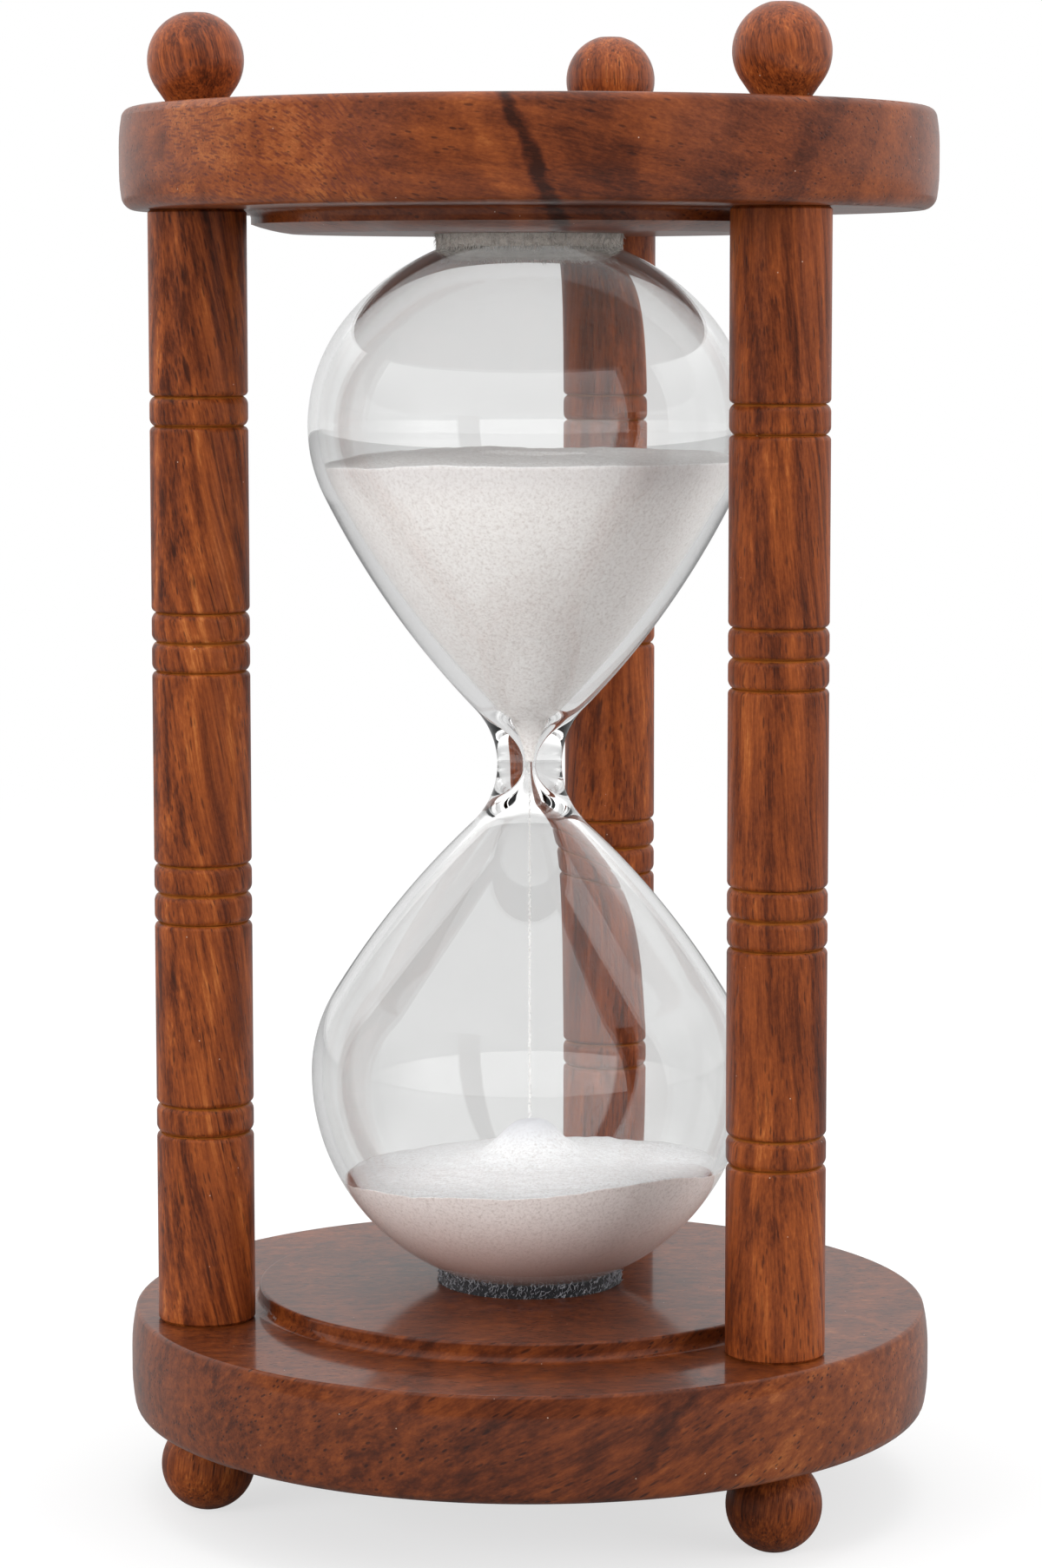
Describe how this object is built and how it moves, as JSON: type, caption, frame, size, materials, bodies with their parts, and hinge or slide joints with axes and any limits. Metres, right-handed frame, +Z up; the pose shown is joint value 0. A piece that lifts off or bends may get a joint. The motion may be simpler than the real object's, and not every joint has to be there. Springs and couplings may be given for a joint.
{
  "type": "sand timer",
  "caption": "Hourglass with white sand in a clear two-bulb glass, between turned wooden discs joined by beaded pillars with ball feet and knobs.",
  "frame": {"origin": "on the axis of the glass, level with the flats of the three feet", "axes": "+Z up along the axis of the glass; the pictured side faces -Y"},
  "size_m": [0.1, 0.1, 0.183],
  "materials": {
    "sheesham_wood": "satin",
    "pin_wood": "matte",
    "clear_glass": "gloss",
    "stopper_plastic": "matte",
    "white_sand": "matte",
    "grey_felt": "matte"
  },
  "bodies": {
    "root": {"top_plate": "sheesham_wood", "bottom_plate": "sheesham_wood", "pillar_left": "sheesham_wood", "pillar_right": "sheesham_wood", "pillar_back": "sheesham_wood", "knob_left": "sheesham_wood", "knob_right": "sheesham_wood", "knob_back": "sheesham_wood", "foot_left": "sheesham_wood", "foot_right": "sheesham_wood", "foot_back": "sheesham_wood", "pin_top_left": "pin_wood", "pin_top_right": "pin_wood", "pin_top_back": "pin_wood", "pin_bottom_left": "pin_wood", "pin_bottom_right": "pin_wood", "pin_bottom_back": "pin_wood", "glass_vessel": "clear_glass", "fill_stopper": "stopper_plastic", "upper_sand": "white_sand", "lower_sand": "white_sand", "sand_stream": "white_sand", "felt_ring_top": "grey_felt", "felt_ring_bottom": "grey_felt"}
  },
  "joints": []
}
